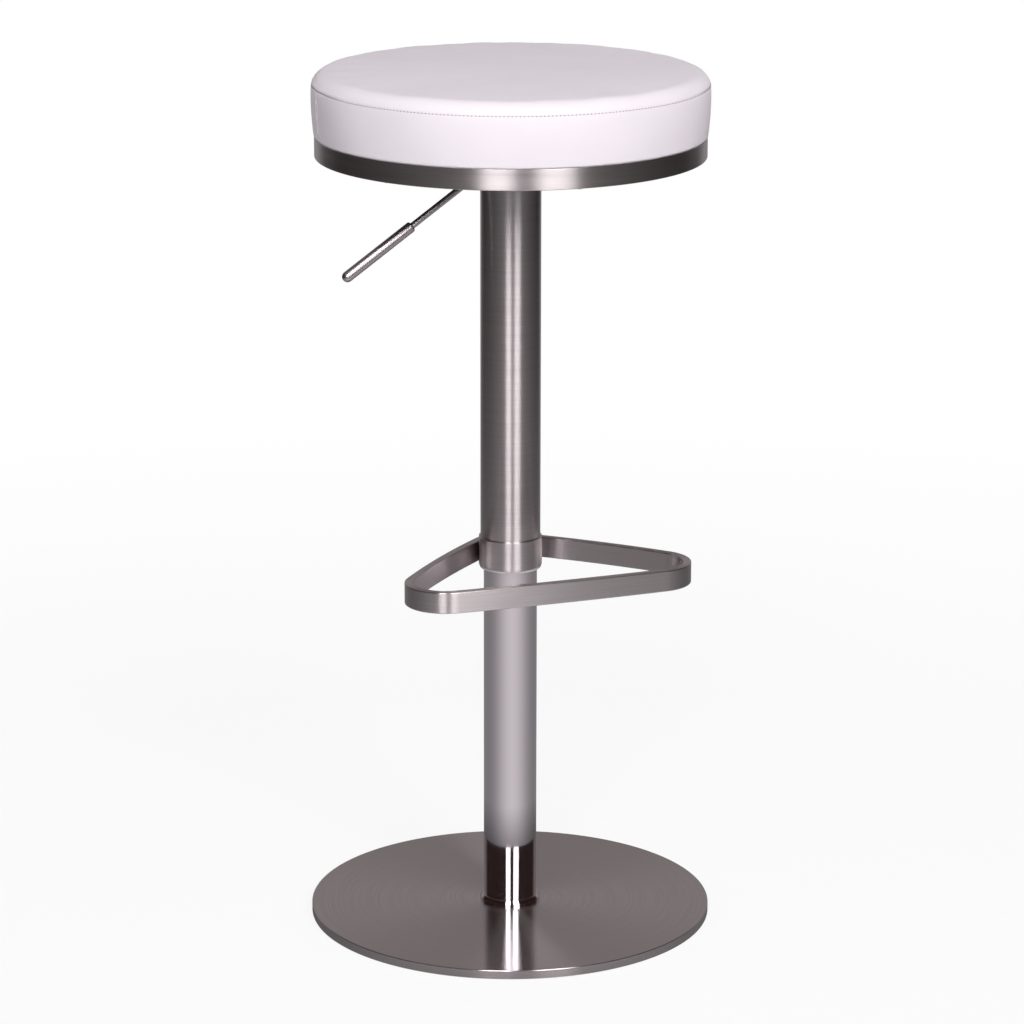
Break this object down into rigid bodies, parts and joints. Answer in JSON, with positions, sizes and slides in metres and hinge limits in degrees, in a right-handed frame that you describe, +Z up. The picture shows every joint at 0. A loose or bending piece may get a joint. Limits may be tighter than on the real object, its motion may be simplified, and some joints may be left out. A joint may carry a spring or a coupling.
{
  "type": "swivel bar stool",
  "caption": "Height-adjustable swivel stool: round padded seat on a gas-lift column with a triangular footrest, a release lever and a heavy round foot.",
  "frame": {"origin": "on the floor at the column's axis, the middle of the round foot's underside", "axes": "+Z up along the column; the sitter faces -Y, where the footrest points; the release lever is on the -X side"},
  "size_m": [0.3849, 0.385, 0.824],
  "materials": {
    "brushed_stainless": "fine circumferential brushing, satin",
    "polished_chrome": "mirror polished",
    "zinc_steel": "bright zinc plated",
    "bearing_steel": "ground and hardened",
    "ballast_iron": "flame cut plate, oiled",
    "black_coated_steel": "black powder coat, fine texture",
    "grey_plastic": "moulded acetal, light grey",
    "black_plastic": "moulded nylon",
    "black_rubber": "moulded rubber",
    "valve_brass": "turned",
    "plywood": "birch plywood, unfinished",
    "seat_foam": "cut polyurethane foam",
    "white_leatherette": "white leatherette with a fine grain",
    "black_cloth": "non-woven cloth"
  },
  "bodies": {
    "base": {"base_cover": "brushed_stainless", "base_weight": "ballast_iron", "floor_ring": "black_rubber", "column_foot": "zinc_steel", "foot_screws": "zinc_steel", "column_trim_ring": "polished_chrome", "column_tube": "polished_chrome", "tube_guide_bush": "black_plastic", "lower_race": "bearing_steel"},
    "lift_rod": {"upper_race": "bearing_steel", "bearing_cage": "black_plastic", "bearing_balls": "bearing_steel", "piston_rod": "bearing_steel", "rod_clip": "zinc_steel", "clip_washer": "zinc_steel", "bump_stop": "black_rubber", "piston": "zinc_steel", "piston_seal": "black_rubber", "piston_nut": "zinc_steel"},
    "seat_column": {"gas_cylinder": "black_coated_steel", "cylinder_end_guide": "black_plastic", "rod_seal": "black_rubber", "valve_body": "valve_brass", "valve_cap": "valve_brass", "valve_spring": "zinc_steel", "cone_socket": "zinc_steel", "lift_housing": "black_coated_steel", "pivot_pin": "zinc_steel", "sleeve_flange": "zinc_steel", "flange_screws": "zinc_steel", "seat_plate": "black_coated_steel", "outer_sleeve": "brushed_stainless", "sleeve_guide_bush": "grey_plastic", "footrest_collar": "brushed_stainless", "footrest_loop": "brushed_stainless", "footrest_set_screws": "zinc_steel", "seat_board": "plywood", "board_tee_nuts": "zinc_steel", "seat_screws": "zinc_steel", "seat_trim_ring": "brushed_stainless", "trim_ring_screws": "zinc_steel", "seat_foam": "seat_foam", "cover_top": "white_leatherette", "cover_band": "white_leatherette", "dust_cover": "black_cloth", "dust_cover_staples": "zinc_steel"},
    "lever": {"lever_hub": "zinc_steel", "press_arm": "zinc_steel", "lever_rod": "polished_chrome", "lever_handle": "polished_chrome"},
    "valve_pin": {"release_pin": "bearing_steel"}
  },
  "joints": [
    {"name": "seat_swivel", "type": "hinge", "parent": "base", "child": "lift_rod", "pos_m": [0, 0, 0.0231], "axis": [0, 0, 1], "continuous": true},
    {"name": "height_slide", "type": "slide", "parent": "lift_rod", "child": "seat_column", "axis": [0, 0, 1], "range_m": [-0.25, 0]},
    {"name": "lever_lift", "type": "hinge", "parent": "seat_column", "child": "lever", "pos_m": [-0.024, 0, 0.7314], "axis": [0, 1, 0], "range_deg": [0, 9], "stiffness_Nm_per_rad": 4, "springref_deg": -6.88},
    {"name": "pin_press", "type": "slide", "parent": "seat_column", "child": "valve_pin", "axis": [0, 0, -1], "range_m": [0, 0.004], "deforming": ["valve_spring"]}
  ],
  "couplings": [
    {"joint": "pin_press", "follows": "lever_lift", "m_per_rad": 0.024}
  ]
}
